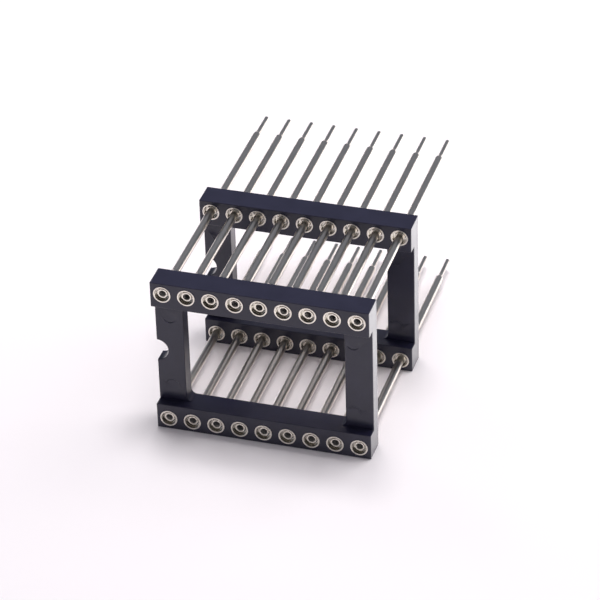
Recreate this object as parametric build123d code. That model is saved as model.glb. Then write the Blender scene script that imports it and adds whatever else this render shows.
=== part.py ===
"""Two open-frame sockets with turned contacts, one plugged into the other.

Each socket carries two rows of nine turned contacts in a black moulded frame: a long
rail along each row and a crossbar at each end, around an open window. The long tails
of the front socket end in thin tips, which the clips inside the contacts of the rear
socket hold. The stack lies on its long sides: X runs along the rows, the tails point
along +Y, the mouths face -Y, and the lower rails rest on Z = 0. The origin is at the
middle of the bounding box, on the surface below the stack. Sizes are in millimetres.
"""

import os
from math import atan2, cos, degrees, pi

from build123d import *

# Grid of the contacts
PITCH = 2.54
CONTACTS_PER_ROW = 9
ROW_SPACING = 15.24

# Moulded frame
BODY_THICKNESS = 2.8
END_MARGIN = 1.27
OUTER_MARGIN = 1.27
INNER_MARGIN = 1.63
CROSSBAR_WIDTH = 2.93
CROSSBAR_RECESS = 1.15
WINDOW_CORNER_RADIUS = 0.6
NOTCH_RADIUS = 1.2

# Sleeve of a contact: the head in its counterbore, then the barrel down to the tail
HEAD_DIAMETER = 1.83
HEAD_PROUD = 0.05
HEAD_SEAT = 0.7
BARREL_DIAMETER = 1.35
BARREL_TAPER = 0.6
SLEEVE_FLOOR = 0.17

# Long stepped tail of a contact, measured from the front face of its frame
TAIL_DIAMETER = 0.85
SHOULDER_START = 16.15
SHOULDER_LENGTH = 0.45
TIP_DIAMETER = 0.5
TIP_LENGTH = 3.27

# Mouth of a contact, and the clip pressed into its bore
RECESS_DIAMETER = 1.55
RECESS_DEPTH = 0.55
BORE_DIAMETER = 1.05
CLIP_TOP = 0.2
CLIP_LENGTH = 2.8
CLIP_COLLAR_LENGTH = 0.65
CLIP_MOUTH_DIAMETER = 0.8
CLIP_WALL = 0.1

# Clearances, each on one side
PRESS_CLEARANCE = 0.01
SLIP_CLEARANCE = 0.01
TIP_HOLE_CLEARANCE = 0.05
CLIP_END_GAP = 0.1
TIP_END_GAP = 0.15

# A turned face is drawn with this many flats, across which it has its true diameter
OUTER_FLAT_COUNT = 10
INNER_FLAT_COUNT = 6


def across_corners(diameter: float) -> float:
    """Size of an outer turned face across the corners of its flats."""
    return diameter / cos(pi / OUTER_FLAT_COUNT)


# Sizes that follow from the driving ones
BODY_LENGTH = (CONTACTS_PER_ROW - 1) * PITCH + 2 * END_MARGIN
BODY_HEIGHT = ROW_SPACING + 2 * OUTER_MARGIN
WINDOW_LENGTH = BODY_LENGTH - 2 * CROSSBAR_WIDTH
WINDOW_HEIGHT = ROW_SPACING - 2 * INNER_MARGIN

# A plugged-in tail stops where its shoulder fills the mouth of the clip
SEAT_DIAMETER = (CLIP_MOUTH_DIAMETER - 2 * SLIP_CLEARANCE) * cos(pi / OUTER_FLAT_COUNT)
SHOULDER_SHARE = (TAIL_DIAMETER - SEAT_DIAMETER) / (TAIL_DIAMETER - TIP_DIAMETER)
TIER_PITCH = SHOULDER_START + SHOULDER_LENGTH * SHOULDER_SHARE - CLIP_TOP

SHOULDER_END = SHOULDER_START + SHOULDER_LENGTH
TAIL_END = SHOULDER_END + TIP_LENGTH
CLIP_THROAT_DIAMETER = across_corners(TIP_DIAMETER) + 2 * SLIP_CLEARANCE
TIP_HOLE_DIAMETER = across_corners(TIP_DIAMETER) + 2 * TIP_HOLE_CLEARANCE
BORE_DEPTH = CLIP_TOP + CLIP_LENGTH + CLIP_END_GAP
TIP_HOLE_DEPTH = TAIL_END - TIER_PITCH + TIP_END_GAP
SLEEVE_END = TIP_HOLE_DEPTH + SLEEVE_FLOOR

# Places in the stack
STACK_LENGTH = HEAD_PROUD + TIER_PITCH + TAIL_END
FRONT_FACE = HEAD_PROUD - STACK_LENGTH / 2
TIERS = {"front": FRONT_FACE, "rear": FRONT_FACE + TIER_PITCH}
ROWS = {"upper": OUTER_MARGIN + ROW_SPACING, "lower": OUTER_MARGIN}


def round_section(diameter: float, depth: float, flats: int) -> Sketch:
    """Section of a turned form, at a depth below the front face of the frame."""
    return Pos(0, 0, depth) * RegularPolygon(diameter / 2, flats, major_radius=False)


def straight(diameter: float, start: float, end: float, flats: int = OUTER_FLAT_COUNT) -> Part:
    """Turned form of one diameter from one depth to another."""
    return extrude(round_section(diameter, start, flats), end - start)


def tapered(
    first: float, last: float, start: float, end: float, flats: int = OUTER_FLAT_COUNT
) -> Part:
    """Turned form that runs from a first to a last diameter."""
    angle = degrees(atan2(first - last, 2 * (end - start)))
    return extrude(round_section(first, start, flats), end - start, taper=angle)


def contact() -> Part:
    """One turned contact: head, barrel and stepped tail, bored out for clip and tip."""
    body = straight(HEAD_DIAMETER, -HEAD_PROUD, HEAD_SEAT)
    body += straight(BARREL_DIAMETER, HEAD_SEAT, SLEEVE_END - BARREL_TAPER)
    body += tapered(BARREL_DIAMETER, TAIL_DIAMETER, SLEEVE_END - BARREL_TAPER, SLEEVE_END)
    body += straight(TAIL_DIAMETER, SLEEVE_END, SHOULDER_START)
    body += tapered(TAIL_DIAMETER, TIP_DIAMETER, SHOULDER_START, SHOULDER_END)
    body += straight(TIP_DIAMETER, SHOULDER_END, TAIL_END)
    body -= straight(RECESS_DIAMETER, -HEAD_PROUD, RECESS_DEPTH)
    body -= straight(BORE_DIAMETER, RECESS_DEPTH, BORE_DEPTH, INNER_FLAT_COUNT)
    body -= straight(TIP_HOLE_DIAMETER, BORE_DEPTH, TIP_HOLE_DEPTH, INNER_FLAT_COUNT)
    return body


def clip() -> Part:
    """One clip: a collar that fills the bore, and a cup that narrows to its grip."""
    end = CLIP_TOP + CLIP_LENGTH
    collar_end = CLIP_TOP + CLIP_COLLAR_LENGTH
    collar = BORE_DIAMETER - 2 * PRESS_CLEARANCE
    foot = CLIP_THROAT_DIAMETER + 2 * CLIP_WALL
    mouth = CLIP_MOUTH_DIAMETER
    throat = CLIP_THROAT_DIAMETER
    body = straight(collar, CLIP_TOP, collar_end, INNER_FLAT_COUNT)
    body += tapered(collar, foot, collar_end, end, INNER_FLAT_COUNT)
    return body - tapered(mouth, throat, CLIP_TOP, end, INNER_FLAT_COUNT)


def grid() -> list[Location]:
    """Places of the contacts in the plane of the frame, row by row from -X."""
    return list(GridLocations(PITCH, ROW_SPACING, CONTACTS_PER_ROW, len(ROWS)))


def insulator() -> Part:
    """Moulded frame: full-depth rails, recessed crossbars, notch and stepped holes."""
    rail = Rectangle(BODY_LENGTH, OUTER_MARGIN + INNER_MARGIN)
    rail_offset = (ROW_SPACING + OUTER_MARGIN - INNER_MARGIN) / 2
    body = Part()
    for side in (-1, 1):
        body += extrude(Pos(0, side * rail_offset) * rail, BODY_THICKNESS)

    # The crossbars start below the front face and round the corners of the window
    ring = Rectangle(BODY_LENGTH, BODY_HEIGHT)
    ring -= RectangleRounded(WINDOW_LENGTH, WINDOW_HEIGHT, WINDOW_CORNER_RADIUS)
    ring -= Pos(-BODY_LENGTH / 2, 0) * Circle(NOTCH_RADIUS)
    body += extrude(Pos(0, 0, CROSSBAR_RECESS) * ring, BODY_THICKNESS - CROSSBAR_RECESS)

    hole = straight(HEAD_DIAMETER + 2 * PRESS_CLEARANCE, 0, HEAD_SEAT)
    hole += straight(BARREL_DIAMETER + 2 * PRESS_CLEARANCE, HEAD_SEAT, BODY_THICKNESS)
    return body - [place * hole for place in grid()]


def stand(shape: Part, face: float, x: float = 0, z: float = BODY_HEIGHT / 2) -> Part:
    """Turn a shape so that its depth runs along +Y, and set it at a frame's front face."""
    return Pos(x, face, z) * Rot(-90, 0, 0) * shape


def row_places() -> list[float]:
    """X of each contact of a row, from the notched end."""
    first = -(CONTACTS_PER_ROW - 1) * PITCH / 2
    return [first + index * PITCH for index in range(CONTACTS_PER_ROW)]


def main() -> None:
    """Build the two sockets and write one STEP file for each node."""
    os.makedirs("parts", exist_ok=True)
    frame_shape = insulator()
    contact_shape = contact()
    clip_shape = clip()
    for tier, face in TIERS.items():
        export_step(stand(frame_shape, face), f"parts/{tier}_insulator.step")
        for row, z in ROWS.items():
            clips = [stand(clip_shape, face, x, z) for x in row_places()]
            export_step(Compound(clips), f"parts/{tier}_{row}_clips.step")
            for number, x in enumerate(row_places(), start=1):
                piece = stand(contact_shape, face, x, z)
                export_step(piece, f"parts/{tier}_{row}_contact_{number}.step")


main()
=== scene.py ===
"""Looks of two open-frame sockets with turned contacts, one plugged into the other.

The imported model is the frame. Each piece here stands for one of its nodes, in the same
form and place, with the round faces, soft edges, clip fingers and finishes of the real
one. Sizes are in millimetres and become metres where a mesh is made.
"""

import logging
import math
from dataclasses import dataclass, field
from enum import Enum

import bmesh
import bpy
import numpy as np
from mathutils import Matrix, Vector


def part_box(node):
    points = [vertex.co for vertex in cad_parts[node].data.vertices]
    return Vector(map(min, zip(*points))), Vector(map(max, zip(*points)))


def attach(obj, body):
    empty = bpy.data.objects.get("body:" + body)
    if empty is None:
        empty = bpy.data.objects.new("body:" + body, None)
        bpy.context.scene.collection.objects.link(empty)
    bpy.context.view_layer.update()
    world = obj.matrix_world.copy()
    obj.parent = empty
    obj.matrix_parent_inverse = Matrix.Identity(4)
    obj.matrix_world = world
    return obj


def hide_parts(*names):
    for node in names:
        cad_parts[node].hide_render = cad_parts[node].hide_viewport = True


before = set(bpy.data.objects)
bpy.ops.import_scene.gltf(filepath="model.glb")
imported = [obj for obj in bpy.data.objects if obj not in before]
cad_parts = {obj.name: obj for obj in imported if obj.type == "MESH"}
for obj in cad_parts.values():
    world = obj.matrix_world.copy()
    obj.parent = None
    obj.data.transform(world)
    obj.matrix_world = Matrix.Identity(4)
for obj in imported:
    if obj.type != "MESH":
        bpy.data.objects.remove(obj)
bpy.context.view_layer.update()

MM = 0.001
LOG = logging.getLogger("ic_socket")
CONTACTS_PER_ROW = 9

# Lengths and shares below TINY are nothing, points within TOUCH, in mm, lie on a face, and
# points that agree to this many digits, in mm, are one
TINY = 1e-6
TOUCH = 0.001
JOIN_DIGITS = 5

# A full turn that starts at a diagonal, in degrees, as the faces round a hole do
FULL_TURN = (45, 405)

# Turned and sprung metal shades as sharp where its faces meet at more than this, in degrees
METAL_SHARP_ANGLE = 50

# Most of a noise texture's values lie between these, and this is how rough its layers are
NOISE_SPAN = (0.3, 0.7)
NOISE_ROUGHNESS = 0.55

# A place in x and z, a rectangle from its lowest to its highest place, and the vertices
# and faces of a closed mesh
Place = tuple[float, float]
Rectangle = tuple[float, float, float, float]
Skin = tuple[np.ndarray, list[list[int]]]


class Tier(Enum):
    """The two sockets, by their place in the stack."""

    FRONT = "front"
    REAR = "rear"


class Row(Enum):
    """The two rows of contacts of a socket."""

    UPPER = "upper"
    LOWER = "lower"


def linear(hex_colour: str) -> tuple[float, float, float, float]:
    """Turn an sRGB hex colour to linear light.

    A share c of full light is c / 12.92 up to 0.04045, and above it
    ((c + 0.055) / 1.055) to the power of 2.4.

    Args:
        hex_colour: six hex digits after a hash.

    Returns:
        Red, green, blue and an alpha of 1.
    """
    shares = np.array([int(hex_colour[i : i + 2], 16) for i in (1, 3, 5)]) / 255
    light = np.where(shares <= 0.04045, shares / 12.92, ((shares + 0.055) / 1.055) ** 2.4)
    return (*light.tolist(), 1.0)


def add_node(
    tree: bpy.types.NodeTree, kind: str, inputs: dict | None = None, **settings: object
) -> bpy.types.Node:
    """Add a shader node with its settings and links.

    Args:
        tree: the node tree that gets the node.
        kind: Blender's name for the kind of node.
        inputs: a value, or another node's output, for each input by name or number.
        settings: the node's own properties.

    Returns:
        The new node.
    """
    node = tree.nodes.new(kind)
    for name, value in settings.items():
        setattr(node, name, value)
    for name, value in (inputs or {}).items():
        if isinstance(value, bpy.types.NodeSocket):
            tree.links.new(value, node.inputs[name])
        else:
            node.inputs[name].default_value = value
    return node


def new_material(name: str) -> tuple[bpy.types.Material, bpy.types.NodeTree]:
    """Make an empty node material, and give it with its tree."""
    material = bpy.data.materials.new(name)
    material.use_nodes = True
    material.node_tree.nodes.clear()
    return material, material.node_tree


def close_tree(tree: bpy.types.NodeTree, shader: bpy.types.NodeSocket) -> None:
    """Send a shader to the output of a material's tree."""
    add_node(tree, "ShaderNodeOutputMaterial", {"Surface": shader})


def noise(tree: bpy.types.NodeTree, size: float, detail: float) -> bpy.types.NodeSocket:
    """Add noise on object coordinates.

    Args:
        tree: the material's tree.
        size: width of one grain in millimetres.
        detail: how many finer layers lie on it.

    Returns:
        The noise value, about 0.5 on average.
    """
    place = add_node(tree, "ShaderNodeTexCoord").outputs["Object"]
    scale = 1 / (size * MM)
    inputs = {"Vector": place, "Scale": scale, "Detail": detail, "Roughness": NOISE_ROUGHNESS}
    return add_node(tree, "ShaderNodeTexNoise", inputs).outputs["Fac"]


def spread(
    tree: bpy.types.NodeTree, value: bpy.types.NodeSocket, low: float, high: float
) -> bpy.types.NodeSocket:
    """Map the middle stretch of a noise value to a range from low to high."""
    start, stop = NOISE_SPAN
    inputs = {"Value": value, "From Min": start, "From Max": stop, "To Min": low, "To Max": high}
    return add_node(tree, "ShaderNodeMapRange", inputs).outputs["Result"]


def blend_colours(
    tree: bpy.types.NodeTree, value: bpy.types.NodeSocket, dark: str, pale: str
) -> bpy.types.NodeSocket:
    """Mix a colour that runs from one hex colour to another as a value goes from 0 to 1.

    The node has sockets for each type of data under one name, so they are numbered here:
    the value is 0, the two colours are 6 and 7, and the mixed colour is output 2.
    """
    ends = {0: value, 6: linear(dark), 7: linear(pale)}
    return add_node(tree, "ShaderNodeMix", ends, data_type="RGBA").outputs[2]


@dataclass(frozen=True)
class GlassFilledPolyester:
    """Black glass-filled polyester, injection moulded.

    To the eye it is a satin charcoal: nearly black by itself, lifted by a soft sheen of
    whatever pale surface it faces, with a fine even grain and faint flow mottling. The
    sheen is a coat over the plastic. Sizes of grain, mottling and bump are in millimetres.
    """

    dark: str = "#1e1d30"
    pale: str = "#252438"
    grain: float = 0.12
    mottle: float = 2.6
    bump_strength: float = 0.3
    bump_height: float = 0.003
    smooth: float = 0.3
    rough: float = 0.38
    index: float = 1.35
    coat_index: float = 1.3
    coat_roughness: float = 0.25

    def build(self) -> bpy.types.Material:
        """Make the material."""
        material, tree = new_material("glass_filled_polyester")
        cloud = noise(tree, self.mottle, detail=3)
        grain = noise(tree, self.grain, detail=2)
        relief = {"Height": grain, "Strength": self.bump_strength, "Distance": self.bump_height * MM}
        bump = add_node(tree, "ShaderNodeBump", relief)
        share = spread(tree, cloud, 0.0, 1.0)
        inputs = {
            "Base Color": blend_colours(tree, share, self.dark, self.pale),
            "Roughness": spread(tree, cloud, self.smooth, self.rough),
            "IOR": self.index,
            "Coat Weight": 1.0,
            "Coat IOR": self.coat_index,
            "Coat Roughness": self.coat_roughness,
            "Normal": bump.outputs[0],
        }
        shader = add_node(tree, "ShaderNodeBsdfPrincipled", inputs)
        close_tree(tree, shader.outputs[0])
        return material


@dataclass(frozen=True)
class CloudyMetal:
    """A metal whose colour and roughness drift a little, in blooms of a width in mm."""

    name: str
    dark: str
    pale: str
    smooth: float
    rough: float
    bloom: float = 1.2

    def build(self) -> bpy.types.Material:
        """Make the material."""
        material, tree = new_material(self.name)
        cloud = noise(tree, self.bloom, detail=1)
        share = spread(tree, cloud, 0.0, 1.0)
        inputs = {
            "Base Color": blend_colours(tree, share, self.dark, self.pale),
            "Metallic": 1.0,
            "Roughness": spread(tree, cloud, self.smooth, self.rough),
        }
        shader = add_node(tree, "ShaderNodeBsdfPrincipled", inputs)
        close_tree(tree, shader.outputs[0])
        return material


@dataclass(frozen=True)
class TinPlatedBrass(CloudyMetal):
    """Turned brass under a satin tin plate: the outside of a contact.

    To the eye it is a silver grey that mirrors what is round it softly: white paper
    below, the dark room behind, and a faint cloudy bloom in the plate.
    """

    name: str = "tin_plated_brass"
    dark: str = "#e6dfd5"
    pale: str = "#eee7dd"
    smooth: float = 0.275
    rough: float = 0.29


@dataclass(frozen=True)
class MirrorTinWithPaintedShade(CloudyMetal):
    """Mirror-smooth tin plate on the bored faces of a contact: its recess and its bore.

    To the eye it is a mirror, dark where it faces the room and light where it faces
    the paper, so a mouth has a dark crescent below and light round the rest. Its colour
    is darker than the outside plate's: painted shade in the hollow of the mouth.
    """

    name: str = "mirror_tin_painted_shade"
    # Darker than the outside plate: painted shade in the recess and bore
    dark: str = "#c2beb7"
    pale: str = "#ccc8c1"
    smooth: float = 0.05
    rough: float = 0.09


@dataclass(frozen=True)
class PlatedBronze(CloudyMetal):
    """Sprung bronze under a bright plate: the outside and lip of a clip.

    To the eye it is a soft warm white ring inside each mouth.
    """

    name: str = "bright_plated_bronze"
    dark: str = "#e6dfd3"
    pale: str = "#efe9df"
    smooth: float = 0.2
    rough: float = 0.3


@dataclass(frozen=True)
class DrawnBronze(CloudyMetal):
    """Bare drawn bronze: the inside of a clip, below its neck.

    To the eye it is a dull dark grey, since little light comes down to it.
    """

    name: str = "drawn_bronze"
    dark: str = "#bfbcba"
    pale: str = "#c9c6c4"
    smooth: float = 0.6
    rough: float = 0.7


@dataclass(frozen=True)
class SweepPaper:
    """Matt white paper below the sockets.

    To the eye it is plain white, with the soft shadow of the sockets on it. In mirrors
    alone it glows with painted light, a little on the left and more on the right of the
    sockets, standing in for paper so bright that the picture clips it. Sizes are in millimetres.
    """

    colour: str = "#f8f2f5"
    tooth: float = 0.6
    tooth_strength: float = 0.1
    tooth_height: float = 0.01
    left_painted_glow: float = 0.05
    right_painted_glow: float = 1.0
    painted_glow_start: float = 11.0
    painted_glow_stop: float = 17.0

    def build(self) -> bpy.types.Material:
        """Make the material."""
        material, tree = new_material("sweep_paper")
        tooth = noise(tree, self.tooth, detail=2)
        relief = {"Height": tooth, "Strength": self.tooth_strength, "Distance": self.tooth_height * MM}
        bump = add_node(tree, "ShaderNodeBump", relief)
        matt = {"Color": linear(self.colour), "Normal": bump.outputs[0]}
        paper = add_node(tree, "ShaderNodeBsdfDiffuse", matt)
        # Painted reflection: the paper glows for mirror rays only, brighter to the right of the sockets
        place = add_node(tree, "ShaderNodeTexCoord").outputs["Object"]
        across = add_node(tree, "ShaderNodeSeparateXYZ", {0: place}).outputs["X"]
        slope = {
            "Value": across,
            "From Min": self.painted_glow_start * MM,
            "From Max": self.painted_glow_stop * MM,
            "To Min": self.left_painted_glow,
            "To Max": self.right_painted_glow,
        }
        painted_glow = add_node(tree, "ShaderNodeMapRange", slope).outputs["Result"]
        path = add_node(tree, "ShaderNodeLightPath")
        mirrored = {0: path.outputs["Is Glossy Ray"], 1: painted_glow}
        level = add_node(tree, "ShaderNodeMath", mirrored, operation="MULTIPLY")
        glow = add_node(tree, "ShaderNodeEmission", {"Strength": level.outputs[0]})
        both = add_node(tree, "ShaderNodeAddShader", {0: paper.outputs[0], 1: glow.outputs[0]})
        close_tree(tree, both.outputs[0])
        return material


def new_piece(
    name: str, points: np.ndarray, faces: list[list[int]], material: bpy.types.Material
) -> bpy.types.Object:
    """Make a closed mesh object with its faces outwards.

    Args:
        name: the piece's name.
        points: vertices in millimetres, one row each.
        faces: vertex numbers of each face.
        material: the finish.

    Returns:
        The object, at the origin and not turned.
    """
    mesh = bpy.data.meshes.new(name)
    mesh.from_pydata((points * MM).tolist(), [], faces)
    sorted_mesh = bmesh.new()
    sorted_mesh.from_mesh(mesh)
    bmesh.ops.recalc_face_normals(sorted_mesh, faces=sorted_mesh.faces)
    sorted_mesh.to_mesh(mesh)
    sorted_mesh.free()
    mesh.polygons.foreach_set("use_smooth", np.ones(len(mesh.polygons), bool))
    mesh.materials.append(material)
    mesh.update()
    piece = bpy.data.objects.new(name, mesh)
    bpy.context.scene.collection.objects.link(piece)
    return piece


def finish_inside(piece: bpy.types.Object, material: bpy.types.Material, inside: np.ndarray) -> None:
    """Give a second finish to the faces of a piece that are marked as inside."""
    piece.data.materials.append(material)
    piece.data.polygons.foreach_set("material_index", inside.astype(np.int32))


def stand_for(piece: bpy.types.Object, node: str) -> bpy.types.Object:
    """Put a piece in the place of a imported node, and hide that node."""
    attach(piece, "root")
    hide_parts(node)
    LOG.info("%s stands for %s, %d faces", piece.name, node, len(piece.data.polygons))
    return piece


def arc(centre: Place, radius: float, start: float, stop: float, steps: int) -> np.ndarray:
    """Points on a circle: the centre plus the radius times the cosine and sine of each angle.

    Args:
        centre: the middle of the circle in the plane.
        radius: its radius.
        start: first angle in degrees.
        stop: last angle in degrees.
        steps: how many steps lie between them.

    Returns:
        steps + 1 rows of two.
    """
    angle = np.radians(np.linspace(start, stop, steps + 1))
    return np.array(centre) + radius * np.stack([np.cos(angle), np.sin(angle)], axis=1)


def soft_profile(corners: np.ndarray, steps: int) -> np.ndarray:
    """Round the corners of a profile.

    Each corner P with a cut c is a parabola from the point c before it to the point c
    after it: (1 - s)^2 A + 2 s (1 - s) P + s^2 B, with s from 0 to 1.

    Args:
        corners: rows of radius, depth and cut.
        steps: steps on each rounded corner.

    Returns:
        Rows of radius and depth.
    """
    place, cut = corners[:, :2], corners[:, 2:]
    back = np.roll(place, 1, axis=0) - place
    ahead = np.roll(place, -1, axis=0) - place
    before = place + cut * back / np.linalg.norm(back, axis=1, keepdims=True)
    after = place + cut * ahead / np.linalg.norm(ahead, axis=1, keepdims=True)
    s = np.linspace(0, 1, steps + 1)[None, :, None]
    curve = (1 - s) ** 2 * before[:, None] + 2 * s * (1 - s) * place[:, None]
    points = (curve + s**2 * after[:, None]).reshape(-1, 2)
    # Repeats go out; the row put in front is 1 mm off, so that the first point stays
    moved = np.linalg.norm(np.diff(points, axis=0, prepend=points[:1] + 1), axis=1)
    return points[moved > TINY]


def lathe(profile: np.ndarray, sides: int) -> Skin:
    """Turn a profile about the depth axis into a closed skin.

    A point of radius r and depth y becomes (r cos a, y, r sin a) for each angle a. The
    profile starts and ends on the axis, where the skin closes in a fan.

    Args:
        profile: rows of radius and depth, the first and last with radius 0.
        sides: how many angles.

    Returns:
        Vertices and faces.
    """
    angle = np.linspace(0, 2 * math.pi, sides, endpoint=False)
    radius, depth = profile[1:-1, 0][:, None], profile[1:-1, 1][:, None]
    rings = np.stack(
        [radius * np.cos(angle), np.broadcast_to(depth, (len(radius), sides)), radius * np.sin(angle)],
        axis=2,
    )
    ends = np.array([[0, profile[0, 1], 0], [0, profile[-1, 1], 0]])
    points = np.concatenate([rings.reshape(-1, 3), ends])
    number = np.arange(len(radius) * sides).reshape(-1, sides)
    beside = np.roll(number, -1, axis=1)
    quads = np.stack([number[:-1], beside[:-1], beside[1:], number[1:]], axis=2).reshape(-1, 4)
    first, last = number.size, number.size + 1
    fans = [
        np.stack([number[0], beside[0], np.full(sides, first)], axis=1),
        np.stack([beside[-1], number[-1], np.full(sides, last)], axis=1),
    ]
    return points, quads.tolist() + np.concatenate(fans).tolist()


class Patchwork:
    """Flat faces of any outline, sewn edge to edge into one closed skin."""

    def __init__(self) -> None:
        """Start without a face."""
        self.outlines: list[np.ndarray] = []

    def plan(self, points: np.ndarray, depth: float) -> None:
        """Add a face at one depth, from its outline in x and z."""
        level = np.full(len(points), depth)
        self.outlines.append(np.stack([points[:, 0], level, points[:, 1]], axis=1))

    def wall(self, path: np.ndarray, top: float, bottom: float) -> None:
        """Add the wall that a path in x and z sweeps from one depth to another."""
        for start, stop in zip(path[:-1], path[1:]):
            sides = [(start, top), (stop, top), (stop, bottom), (start, bottom)]
            self.outlines.append(np.array([[p[0], y, p[1]] for p, y in sides]))

    def box_plan(self, low: Place, high: Place, depth: float) -> None:
        """Add a rectangle at one depth, from its lowest and highest x and z."""
        (x0, z0), (x1, z1) = low, high
        self.plan(np.array([[x0, z0], [x1, z0], [x1, z1], [x0, z1]]), depth)

    def side(self, low: Place, high: Place, axis: int, value: float) -> None:
        """Add a rectangle square to x (axis 0) or z (axis 2).

        Args:
            low: lowest place along the other axis, and lowest depth.
            high: highest place and depth.
            axis: the axis that the rectangle is square to.
            value: its place on that axis.
        """
        face = np.empty((4, 3))
        face[:, axis] = value
        face[:, 2 - axis] = [low[0], high[0], high[0], low[0]]
        face[:, 1] = [low[1], low[1], high[1], high[1]]
        self.outlines.append(face)

    def fan(self, apex: Place, path: np.ndarray, depth: float) -> None:
        """Add the triangles from a point to each step of a path, at one depth."""
        for start, stop in zip(path[:-1], path[1:]):
            self.plan(np.array([apex, start, stop]), depth)

    def pierced(self, box: Rectangle, centre: Place, radius: float, depth: float, sides: int) -> None:
        """Add a rectangle with a round hole, as four faces that meet at the diagonals.

        Args:
            box: lowest x, lowest z, highest x, highest z.
            centre: middle of the hole.
            radius: radius of the hole.
            depth: depth of the face.
            sides: sides of the hole, a multiple of 4.
        """
        x0, z0, x1, z1 = box
        corner = np.array([[x0, z0], [x1, z0], [x1, z1], [x0, z1]])
        for k in range(4):
            # The lowest corner lies at 225 degrees, and each next one a quarter turn on
            start = 225 + 90 * k
            rim = arc(centre, radius, start + 90, start, sides // 4)
            self.plan(np.concatenate([corner[[k, (k + 1) % 4]], rim]), depth)

    def ring(self, centre: Place, radii: tuple[float, float], depth: float, sides: int) -> None:
        """Add a flat ring between two radii, as one face for each side."""
        outer = arc(centre, radii[0], *FULL_TURN, sides)
        inner = arc(centre, radii[1], *FULL_TURN, sides)
        for k in range(sides):
            self.plan(np.array([outer[k], outer[k + 1], inner[k + 1], inner[k]]), depth)

    def sewn(self) -> Skin:
        """Join equal points, and let each straight edge take in the points that lie on it.

        Returns:
            Vertices and faces.
        """
        loose = np.concatenate(self.outlines)
        rounded = np.round(loose, JOIN_DIGITS)
        _, first, number = np.unique(rounded, axis=0, return_index=True, return_inverse=True)
        points = loose[first]
        cuts = np.cumsum([len(outline) for outline in self.outlines])[:-1]
        return points, [self.edge_points(points, loop) for loop in np.split(number.ravel(), cuts)]

    @staticmethod
    def edge_points(points: np.ndarray, loop: np.ndarray) -> list[int]:
        """Add to a face the points that lie between two of its corners.

        A point lies on an edge where its share along the edge is between 0 and 1 and
        its distance from the edge is nothing. Only edges along an axis can have such
        points.
        """
        full = []
        for start, stop in zip(loop, np.roll(loop, -1)):
            full.append(int(start))
            along = points[stop] - points[start]
            if np.count_nonzero(np.abs(along) > TINY) != 1:
                continue
            away = points - points[start]
            share = away @ along / (along @ along)
            off = np.linalg.norm(away - share[:, None] * along, axis=1)
            found = np.flatnonzero((share > TINY) & (share < 1 - TINY) & (off < TINY))
            full.extend(found[np.argsort(share[found])].tolist())
        return full


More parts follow.
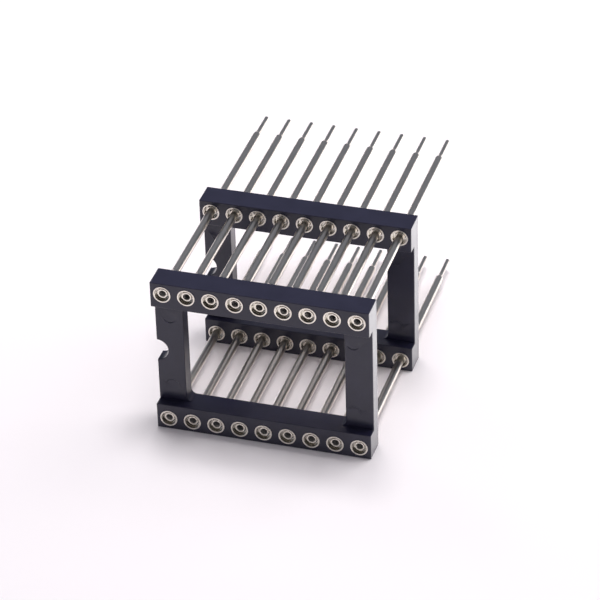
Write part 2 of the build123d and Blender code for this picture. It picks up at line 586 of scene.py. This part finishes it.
@dataclass
class MouldedFrame:
    """One insulator: two full-depth rails, two recessed crossbars, a notch and 18 holes.

    Outlines lie in x and z, measured from the middle of the frame, and depth runs back
    from its front face. Lengths are in millimetres and angles in degrees. The last
    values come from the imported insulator: long and high are half its length and height,
    thick is its whole depth, front and middle say where it is, and window_long and
    window_high are half the length and height of the window.
    """

    tier: Tier
    material: bpy.types.Material
    rail_width: float = 2.9
    crossbar_width: float = 2.93
    crossbar_recess: float = 1.15
    corner_radius: float = 0.6
    notch_radius: float = 1.2
    counterbore_radius: float = 0.925
    counterbore_depth: float = 0.7
    bore_radius: float = 0.685
    mark_radius: float = 0.72
    mark_places: tuple[float, float] = (-9.93, 9.4)
    mark_height: float = 4.2
    mark_cell: float = 0.85
    mark_slope: float = 0.06
    mark_depth: float = 0.055
    edge_radius: float = 0.08
    edge_steps: int = 3
    edge_fade: float = 0.6
    sharp_angle: float = 30
    soft_angle: float = 40
    rim_margin: float = 0.01
    hole_sides: int = 40
    corner_steps: int = 8
    notch_steps: int = 24
    node: str = field(init=False)
    long: float = field(init=False)
    high: float = field(init=False)
    thick: float = field(init=False)
    front: float = field(init=False)
    middle: float = field(init=False)
    window_long: float = field(init=False)
    window_high: float = field(init=False)

    def __post_init__(self) -> None:
        """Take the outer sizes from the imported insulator, and work out the window's."""
        node = f"{self.tier.value}_insulator"
        low, high = (np.array(corner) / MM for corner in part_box(node))
        self.node = node
        self.long, self.thick, self.high = (high - low) / [2, 1, 2]
        self.front = low[1]
        self.middle = (low[2] + high[2]) / 2
        self.window_long = self.long - self.crossbar_width
        self.window_high = self.high - self.rail_width

    def centres(self, row: Row) -> np.ndarray:
        """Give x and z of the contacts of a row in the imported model."""
        names = [f"{self.tier.value}_{row.value}_contact_{n + 1}" for n in range(CONTACTS_PER_ROW)]
        boxes = [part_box(name) for name in names]
        return np.array([[(low.x + high.x) / 2, (low.z + high.z) / 2] for low, high in boxes]) / MM

    def rails(self, skin: Patchwork) -> None:
        """Add both rails: pierced front and back, holes, outer and inner sides."""
        for row, side in ((Row.UPPER, 1), (Row.LOWER, -1)):
            outer, inner = side * self.high, side * self.window_high
            low, high = sorted((inner, outer))
            centres = self.centres(row) - [0, self.middle]
            pitch = centres[1, 0] - centres[0, 0]
            edges = np.array([-self.long, *(centres[1:, 0] - pitch / 2), self.long])
            for k, centre in enumerate(centres):
                self.hole(skin, (edges[k], low, edges[k + 1], high), tuple(centre))
            start = self.window_long - self.corner_radius
            skin.side((-self.long, 0), (self.long, self.thick), 2, outer)
            skin.side((-self.long, 0), (self.long, self.crossbar_recess), 2, inner)
            skin.side((-start, self.crossbar_recess), (start, self.thick), 2, inner)

    def hole(self, skin: Patchwork, box: Rectangle, centre: Place) -> None:
        """Add one stepped hole through a rail: counterbore, ledge and bore."""
        wide, narrow, seat = self.counterbore_radius, self.bore_radius, self.counterbore_depth
        skin.pierced(box, centre, wide, 0, self.hole_sides)
        skin.wall(arc(centre, wide, *FULL_TURN, self.hole_sides), 0, seat)
        skin.ring(centre, (wide, narrow), seat, self.hole_sides)
        skin.wall(arc(centre, narrow, *FULL_TURN, self.hole_sides), seat, self.thick)
        skin.pierced(box, centre, narrow, self.thick, self.hole_sides)

    def crossbars(self, skin: Patchwork) -> None:
        """Add both crossbars with their pin marks, round window corners, sides and notch."""
        top, bottom = self.crossbar_recess, self.thick
        corner = (self.window_long - self.corner_radius, self.window_high - self.corner_radius)
        turn = arc(corner, self.corner_radius, 90, 0, self.corner_steps)
        inner = np.concatenate([turn, turn[::-1] * [1, -1]])
        notch = arc((self.long, 0), self.notch_radius, 90, 270, self.notch_steps)
        for side, gap in ((1, None), (-1, notch)):
            flip = np.array([side, 1])
            for half in (1, -1):
                apex = (side * self.window_long, half * self.window_high)
                for depth in (top, bottom):
                    skin.fan(apex, turn * flip * [1, half], depth)
            self.face(skin, side, gap, top, self.marks(skin, side))
            self.face(skin, side, gap, bottom, [])
            skin.wall(inner * flip, top, bottom)
            edge = 0.0
            if gap is not None:
                skin.wall(gap * flip, top, bottom)
                edge = self.notch_radius
            for half in (1, -1):
                for low, high, front in ((edge, self.window_high, top), (self.window_high, self.high, 0)):
                    first, last = sorted((half * low, half * high))
                    skin.side((first, front), (last, bottom), 0, side * self.long)

    def face(
        self, skin: Patchwork, side: int, gap: np.ndarray | None, depth: float, marks: list[Place]
    ) -> None:
        """Add the front or back of one crossbar as upright strips.

        Args:
            skin: gets the faces.
            side: 1 or -1, the sign of the crossbar's x.
            gap: the notch's outline for a crossbar at positive x, or nothing.
            depth: depth of the face.
            marks: lowest and highest z of each stretch that is made elsewhere.
        """
        near, far = side * self.window_long, side * self.long
        x0, x1 = sorted((near, far))
        taken = list(marks)
        if gap is not None:
            taken.append((-self.notch_radius, self.notch_radius))
            for start, stop in zip(gap[:-1], gap[1:]):
                rim = [[side * stop[0], stop[1]], [near, stop[1]]]
                skin.plan(np.array([[near, start[1]], [side * start[0], start[1]], *rim]), depth)
        level = -self.window_high
        for low, high in sorted(taken) + [(self.window_high, self.window_high)]:
            skin.box_plan((x0, level), (x1, low), depth)
            level = high

    def marks(self, skin: Patchwork, side: int) -> list[Place]:
        """Add the shallow round marks of two ejector pins, each deeper towards the middle.

        The disc of a mark of radius r lies at the depth t (1 - k (z - c) / r) / 2 below
        the crossbar, where t is the depth of the mark, c its height and k the sign of c,
        so it fades out at its far side.

        Args:
            skin: gets the faces.
            side: 1 or -1, the sign of the crossbar's x.

        Returns:
            Lowest and highest z of the stretch that each mark takes up.
        """
        x0, x1 = sorted((side * self.window_long, side * self.long))
        centre_x = self.mark_places[(side + 1) // 2]
        top = self.crossbar_recess
        stretches = []
        for half in (1, -1):
            centre = (centre_x, half * self.mark_height)
            low, high = centre[1] - self.mark_cell, centre[1] + self.mark_cell
            stretches.append((low, high))
            skin.pierced((x0, low, x1, high), centre, self.mark_radius, top, self.hole_sides)
            rim = arc(centre, self.mark_radius, *FULL_TURN, self.hole_sides)
            foot = arc(centre, self.mark_radius - self.mark_slope, *FULL_TURN, self.hole_sides)
            sunk = top + self.mark_depth * (1 - half * (foot[:, 1] - centre[1]) / self.mark_radius) / 2
            for k in range(self.hole_sides):
                corners = [(rim[k], top), (rim[k + 1], top), (foot[k + 1], sunk[k + 1]), (foot[k], sunk[k])]
                skin.outlines.append(np.array([[p[0], y, p[1]] for p, y in corners]))
            skin.outlines.append(np.stack([foot[:-1, 0], sunk[:-1], foot[:-1, 1]], axis=1))
        return stretches

    def soften(self, mesh: bpy.types.Mesh) -> None:
        """Weigh the outer edges for the rounding, and keep the others sharp.

        Where the window's round corner runs out along the step of a rail, the gap g
        between the two shrinks to nothing, and the weight with it: f g / r, at most 1,
        with the fade f and the edge radius r. Hole rims keep no weight, because the
        heads of the contacts fill them.
        """
        mesh.set_sharp_from_angle(angle=math.radians(self.sharp_angle))
        work = bmesh.new()
        work.from_mesh(mesh)
        weight = work.edges.layers.float.new("bevel_weight_edge")
        holes = np.concatenate([self.centres(row) for row in Row])
        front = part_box(f"{self.tier.value}_insulator")[0].y / MM
        for edge in work.edges:
            if not edge.is_convex or edge.calc_face_angle() < math.radians(self.soft_angle):
                continue
            ends = np.array([vertex.co for vertex in edge.verts]) / MM
            away = np.linalg.norm(holes[:, None] - ends[None, :, [0, 2]], axis=2)
            if away.max(axis=1).min() < self.counterbore_radius + self.rim_margin:
                continue
            share = 1.0
            on_step = np.abs(ends[:, 1] - front - self.crossbar_recess).max() < TOUCH
            in_window = np.abs(ends[:, 0]).max() < self.window_long + TOUCH
            if on_step and in_window:
                gap = self.window_high - np.abs(ends[:, 2] - self.middle).max()
                share = min(1.0, self.edge_fade * gap / self.edge_radius)
            edge[weight] = share
        work.to_mesh(mesh)
        work.free()

    def build(self) -> bpy.types.Object:
        """Make the frame.

        Returns:
            The piece that stands for the insulator.
        """
        skin = Patchwork()
        self.rails(skin)
        self.crossbars(skin)
        points, faces = skin.sewn()
        points = points + [0, self.front, self.middle]
        piece = new_piece(f"{self.tier.value}_moulded_frame", points, faces, self.material)
        self.soften(piece.data)
        soft = piece.modifiers.new("soft_edges", "BEVEL")
        soft.width = self.edge_radius * MM
        soft.segments = self.edge_steps
        soft.limit_method = "WEIGHT"
        soft.harden_normals = True
        soft.use_clamp_overlap = False
        # With it, points at the corners of the notch slide out past the end of the frame
        soft.loop_slide = False
        return stand_for(piece, self.node)


@dataclass
class TurnedContact:
    """One turned contact: head with a recessed mouth, barrel, tail, shoulder and tip.

    Its recess and bore have the mirror finish, darker than the rest: painted shade in the
    mouth. Lengths are in millimetres, and depths run back from the front face of the
    frame. A cut says how far from a corner of the profile its rounding starts and ends.
    """

    node: str
    material: bpy.types.Material
    mirror: bpy.types.Material
    face: float
    head_radius: float = 0.915
    head_proud: float = 0.05
    head_seat: float = 0.7
    barrel_radius: float = 0.675
    barrel_end: float = 3.5
    sleeve_end: float = 4.1
    tail_radius: float = 0.425
    shoulder_start: float = 16.15
    shoulder_end: float = 16.6
    tip_radius: float = 0.25
    tail_end: float = 19.87
    recess_radius: float = 0.775
    recess_depth: float = 0.55
    chamfer: float = 0.02
    bore_radius: float = 0.525
    bore_depth: float = 3.1
    tip_hole_radius: float = 0.313
    tip_hole_depth: float = 3.93
    outer_cut: float = 0.1
    inner_cut: float = 0.12
    rim_cut: float = 0.012
    chamfer_cut: float = 0.01
    recess_cut: float = 0.05
    bore_cut: float = 0.03
    cut_steps: int = 4
    sides: int = 40

    def profile(self) -> np.ndarray:
        """Give rows of radius, depth and cut, from the end of the tip round to the bore's."""
        return np.array(
            [
                [0, self.tail_end, 0],
                [self.tip_radius, self.tail_end, self.outer_cut],
                [self.tip_radius, self.shoulder_end, self.inner_cut],
                [self.tail_radius, self.shoulder_start, self.outer_cut],
                [self.tail_radius, self.sleeve_end, self.inner_cut],
                [self.barrel_radius, self.barrel_end, self.inner_cut],
                [self.barrel_radius, self.head_seat, 0],
                [self.head_radius, self.head_seat, 0],
                [self.head_radius, -self.head_proud, self.rim_cut],
                [self.recess_radius + self.chamfer, -self.head_proud, self.chamfer_cut],
                [self.recess_radius, self.chamfer - self.head_proud, self.chamfer_cut],
                [self.recess_radius, self.recess_depth, self.recess_cut],
                [self.bore_radius, self.recess_depth, self.bore_cut],
                [self.bore_radius, self.bore_depth, 0],
                [self.tip_hole_radius, self.bore_depth, 0],
                [self.tip_hole_radius, self.tip_hole_depth, 0],
                [0, self.tip_hole_depth, 0],
            ]
        )

    def build(self) -> bpy.types.Object:
        """Make the contact.

        Returns:
            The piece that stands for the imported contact.
        """
        points, faces = lathe(soft_profile(self.profile(), self.cut_steps), self.sides)
        low, high = (np.array(corner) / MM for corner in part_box(self.node))
        place = [(low[0] + high[0]) / 2, self.face, (low[2] + high[2]) / 2]
        piece = new_piece(f"{self.node}_turned", points + place, faces, self.material)
        piece.data.set_sharp_from_angle(angle=math.radians(METAL_SHARP_ANGLE))
        middles = np.empty(3 * len(piece.data.polygons))
        piece.data.polygons.foreach_get("center", middles)
        away = middles.reshape(-1, 3) / MM - place
        radius, depth = np.hypot(away[:, 0], away[:, 2]), away[:, 1]
        in_recess = (radius < self.recess_radius) & (depth > self.chamfer)
        in_recess &= depth < self.recess_depth + TOUCH
        in_bore = (radius < self.bore_radius) & (depth > self.recess_depth) & (depth < self.bore_depth)
        # Recess and bore take the darker mirror finish: painted shade in the mouth
        finish_inside(piece, self.mirror, in_recess | in_bore)
        return stand_for(piece, self.node)


@dataclass
class SpringClip:
    """Clips of one row: each a short ring with four fingers that lean in to grip a pin.

    Below the neck, its inside is dull. Lengths are in millimetres, and depths run back
    from the front face of the frame.
    """

    node: str
    material: bpy.types.Material
    drawn: bpy.types.Material
    face: float
    centres: np.ndarray
    top: float = 0.2
    ring_end: float = 0.85
    foot: float = 3.0
    outer_radius: float = 0.515
    flat_radius: float = 0.385
    neck_radius: float = 0.345
    neck_depth: float = 0.08
    throat_radius: float = 0.273
    wall: float = 0.1
    edge: float = 0.03
    slot: float = 0.16
    dull_margin: float = 0.002
    sides: int = 48
    fingers: int = 4
    levels: int = 5
    edge_steps: int = 3
    funnel_steps: int = 6

    def walls(self, depth: np.ndarray) -> tuple[np.ndarray, np.ndarray]:
        """Give the outer and inner radius at each depth.

        Outside, a straight collar runs into fingers that lean in. Inside, the fingers
        lean in from the neck on.
        """
        outer_ends = (self.outer_radius, self.throat_radius + self.wall)
        outer = np.interp(depth, (self.ring_end, self.foot), outer_ends)
        inner_ends = (self.neck_radius, self.throat_radius)
        inner = np.interp(depth, (self.top + self.neck_depth, self.foot), inner_ends)
        return outer, inner

    def lip(self) -> tuple[np.ndarray, np.ndarray]:
        """Give radius and depth over the lip: a soft outer edge, a flat ring and a funnel.

        The funnel is the parabola (1 - s)^2 A + 2 s (1 - s) B + s^2 C, from the flat
        ring's inner edge A to the neck C, with B where the two directions meet.
        """
        turn = np.radians(np.linspace(0, 90, self.edge_steps + 1))
        edge_radius = self.outer_radius - self.edge * (1 - np.cos(turn))
        edge_depth = self.top + self.edge * (1 - np.sin(turn))
        s = np.linspace(0, 1, self.funnel_steps + 1)
        flat, bend, neck = self.flat_radius, self.neck_radius + self.edge / 2, self.neck_radius
        funnel_radius = (1 - s) ** 2 * flat + 2 * s * (1 - s) * bend + s**2 * neck
        funnel_depth = self.top + s**2 * self.neck_depth
        radius = np.concatenate([edge_radius, funnel_radius])
        return radius, np.concatenate([edge_depth, funnel_depth])

    def loop(self) -> tuple[np.ndarray, np.ndarray]:
        """Give radius and depth of each level: up the outside, over the lip, down the inside."""
        depth = np.linspace(self.foot, self.ring_end, self.levels)
        outer, inner = self.walls(depth)
        lip_radius, lip_depth = self.lip()
        radius = np.concatenate([outer, lip_radius, inner[::-1]])
        return radius, np.concatenate([depth, lip_depth, depth[::-1]])

    def in_finger(self) -> np.ndarray:
        """Tell for each side of the clip whether it is in a finger and not in a slot."""
        open_sides = max(1, round(self.slot / (2 * math.pi * self.outer_radius) * self.sides))
        return np.arange(self.sides) % (self.sides // self.fingers) >= open_sides

    def closing_faces(self, number: np.ndarray, beside: np.ndarray, finger: np.ndarray) -> list:
        """Make the feet of the fingers, the roofs of the slots and the cheeks of the fingers.

        Args:
            number: number of each point, by level and angle.
            beside: number of the next point round the clip.
            finger: for each side, whether it is in a finger.

        Returns:
            Faces of four points.
        """
        top = self.levels - 1
        foot = np.stack([beside[0], number[0], number[-1], beside[-1]], axis=1)
        roof = np.stack([beside[top], number[top], number[-1 - top], beside[-1 - top]], axis=1)
        edge = np.flatnonzero(finger != np.roll(finger, 1))
        outside, inside = number[: top + 1, edge], number[::-1][: top + 1, edge]
        cheek = np.stack([outside[:-1], outside[1:], inside[1:], inside[:-1]], axis=2).reshape(-1, 4)
        return foot[finger].tolist() + roof[~finger].tolist() + cheek.tolist()

    def shell(self) -> Skin:
        """Make one clip as a closed skin, about the depth axis.

        A point of radius r and depth y becomes (r cos a, y, r sin a) for each angle a.
        The slots leave out the levels below the ring, and points that no face uses are
        dropped.
        """
        angle = np.linspace(0, 2 * math.pi, self.sides, endpoint=False)
        radius, level = self.loop()
        levels = np.broadcast_to(level[:, None], (len(level), self.sides))
        across = (np.outer(radius, np.cos(angle)), np.outer(radius, np.sin(angle)))
        points = np.stack([across[0], levels, across[1]], axis=2).reshape(-1, 3)
        number = np.arange(len(radius) * self.sides).reshape(-1, self.sides)
        beside = np.roll(number, -1, axis=1)
        finger = self.in_finger()
        skin = np.stack([number[:-1], beside[:-1], beside[1:], number[1:]], axis=2)
        slotted = np.zeros(len(radius) - 1, bool)
        slotted[: self.levels - 1] = slotted[-(self.levels - 1) :] = True
        faces = skin[~slotted[:, None] | finger[None, :]].tolist()
        faces += self.closing_faces(number, beside, finger)
        used, loops = np.unique(np.array(faces), return_inverse=True)
        return points[used], loops.reshape(-1, 4).tolist()

    def build(self) -> bpy.types.Object:
        """Make the clips of the row.

        Returns:
            The piece that stands for the row's packed clips.
        """
        shell, loops = self.shell()
        places = np.array([[x, self.face, z] for x, z in self.centres])
        every = (shell[None] + places[:, None]).reshape(-1, 3)
        copies = [[k + len(shell) * n for k in loop] for n in range(len(places)) for loop in loops]
        piece = new_piece(f"{self.node}_sprung", every, copies, self.material)
        piece.data.set_sharp_from_angle(angle=math.radians(METAL_SHARP_ANGLE))
        first, _, third, _ = np.array(loops).T
        middles = (shell[first] + shell[third]) / 2
        radius, depth = np.hypot(middles[:, 0], middles[:, 2]), middles[:, 1]
        inside = (radius < self.neck_radius + self.dull_margin) & (depth > self.top + self.neck_depth)
        finish_inside(piece, self.drawn, np.tile(inside, len(places)))
        return stand_for(piece, self.node)


@dataclass
class Socket:
    """One socket: its moulded frame, and two rows of nine contacts with their clips."""

    tier: Tier
    plastic: bpy.types.Material
    plate: bpy.types.Material
    mirror: bpy.types.Material
    spring: bpy.types.Material
    drawn: bpy.types.Material

    def build(self) -> None:
        """Make every piece of the socket."""
        mould = MouldedFrame(self.tier, self.plastic)
        mould.build()
        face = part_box(f"{self.tier.value}_insulator")[0].y / MM
        for row in Row:
            name = f"{self.tier.value}_{row.value}"
            for number in range(1, CONTACTS_PER_ROW + 1):
                TurnedContact(f"{name}_contact_{number}", self.plate, self.mirror, face).build()
            SpringClip(f"{name}_clips", self.spring, self.drawn, face, mould.centres(row)).build()


@dataclass(frozen=True)
class SoftLamp:
    """A square soft lamp that points at the sockets, and that no mirror shows.

    Its place and side are in millimetres and its power in watts.
    """

    name: str
    place: tuple[float, float, float]
    side: float
    power: float

    def build(self) -> None:
        """Hang the lamp."""
        data = bpy.data.lights.new(self.name, "AREA")
        data.shape = "SQUARE"
        data.size = self.side * MM
        data.energy = self.power
        lamp = bpy.data.objects.new(self.name, data)
        lamp.location = Vector(self.place) * MM
        lamp.rotation_mode = "QUATERNION"
        lamp.rotation_quaternion = (-lamp.location).to_track_quat("-Z", "Y")
        lamp.visible_glossy = False
        bpy.context.scene.collection.objects.link(lamp)


@dataclass
class Studio:
    """White paper, soft light and the camera.

    Places are in millimetres and the roll is in degrees. Each stop of the room is the
    sine of an angle above the horizon, and the room's red, green and blue there.
    """

    paper: bpy.types.Material
    camera_place: tuple[float, float, float] = (86.184, -276.717, 198.774)
    camera_target: tuple[float, float, float] = (-0.796, -1.636, 6.906)
    camera_roll: float = -1.731
    lens: float = 197.7
    sensor: float = 36.0
    paper_reach: float = 3000.0
    lamps: tuple[SoftLamp, ...] = (
        SoftLamp("back_right_lamp", (170, 150, 210), 200, 0.26),
        SoftLamp("high_left_lamp", (-38, 88, 325), 70, 0.28),
        SoftLamp("low_left_lamp", (-200, 120, 200), 100, 0.1),
        SoftLamp("overhead_lamp", (48, 36, 336), 110, 0.53),
    )
    room: tuple[tuple[float, tuple[float, float, float]], ...] = (
        (0.0, (0.15, 0.17, 0.21)),
        (0.58, (0.165, 0.18, 0.22)),
        (0.72, (0.36, 0.35, 0.36)),
        (1.0, (0.38, 0.36, 0.37)),
    )

    def camera(self) -> None:
        """Put the camera where the photograph was taken from, a long way off with a long lens."""
        data = bpy.data.cameras.new("camera")
        data.lens = self.lens
        data.sensor_width = self.sensor
        eye = bpy.data.objects.new("camera", data)
        place, target = Vector(self.camera_place) * MM, Vector(self.camera_target) * MM
        turn = (target - place).to_track_quat("-Z", "Y").to_matrix().to_4x4()
        roll = Matrix.Rotation(math.radians(self.camera_roll), 4, "Z")
        eye.matrix_world = Matrix.Translation(place) @ turn @ roll
        bpy.context.scene.collection.objects.link(eye)
        bpy.context.scene.camera = eye

    def floor(self) -> None:
        """Lay a wide square of paper at the height that the sockets lie on."""
        reach = self.paper_reach
        corners = np.array([[-reach, -reach, 0], [reach, -reach, 0], [reach, reach, 0], [-reach, reach, 0]])
        mesh = bpy.data.meshes.new("paper_floor")
        mesh.from_pydata((corners * MM).tolist(), [], [[0, 1, 2, 3]])
        mesh.materials.append(self.paper)
        paper = bpy.data.objects.new("paper_floor", mesh)
        bpy.context.scene.collection.objects.link(paper)

    def sky(self) -> None:
        """Light the room all round: dim near the horizon and brighter overhead."""
        world = bpy.data.worlds.new("room")
        bpy.context.scene.world = world
        world.use_nodes = True
        tree = world.node_tree
        tree.nodes.clear()
        way = add_node(tree, "ShaderNodeTexCoord").outputs["Generated"]
        up = add_node(tree, "ShaderNodeSeparateXYZ", {0: way}).outputs["Z"]
        ramp = add_node(tree, "ShaderNodeValToRGB", {0: up})
        # New stops start in the middle of the ramp, and then all take their places
        while len(ramp.color_ramp.elements) < len(self.room):
            ramp.color_ramp.elements.new(0.5)
        for element, (place, colour) in zip(ramp.color_ramp.elements, self.room):
            element.position = place
            element.color = (*colour, 1.0)
        light = add_node(tree, "ShaderNodeBackground", {"Color": ramp.outputs[0], "Strength": 1.0})
        add_node(tree, "ShaderNodeOutputWorld", {"Surface": light.outputs[0]})

    def build(self) -> None:
        """Set up camera, paper, room and lamps."""
        self.camera()
        self.floor()
        self.sky()
        for lamp in self.lamps:
            lamp.build()
        bpy.context.scene.view_settings.view_transform = "Standard"


def main() -> None:
    """Build the studio and both sockets."""
    logging.basicConfig(level=logging.INFO)
    Studio(SweepPaper().build()).build()
    plastic = GlassFilledPolyester().build()
    plate = TinPlatedBrass().build()
    spring = PlatedBronze().build()
    mirror = MirrorTinWithPaintedShade().build()
    drawn = DrawnBronze().build()
    for tier in Tier:
        Socket(tier, plastic, plate, mirror, spring, drawn).build()


if __name__ == "__main__":
    main()
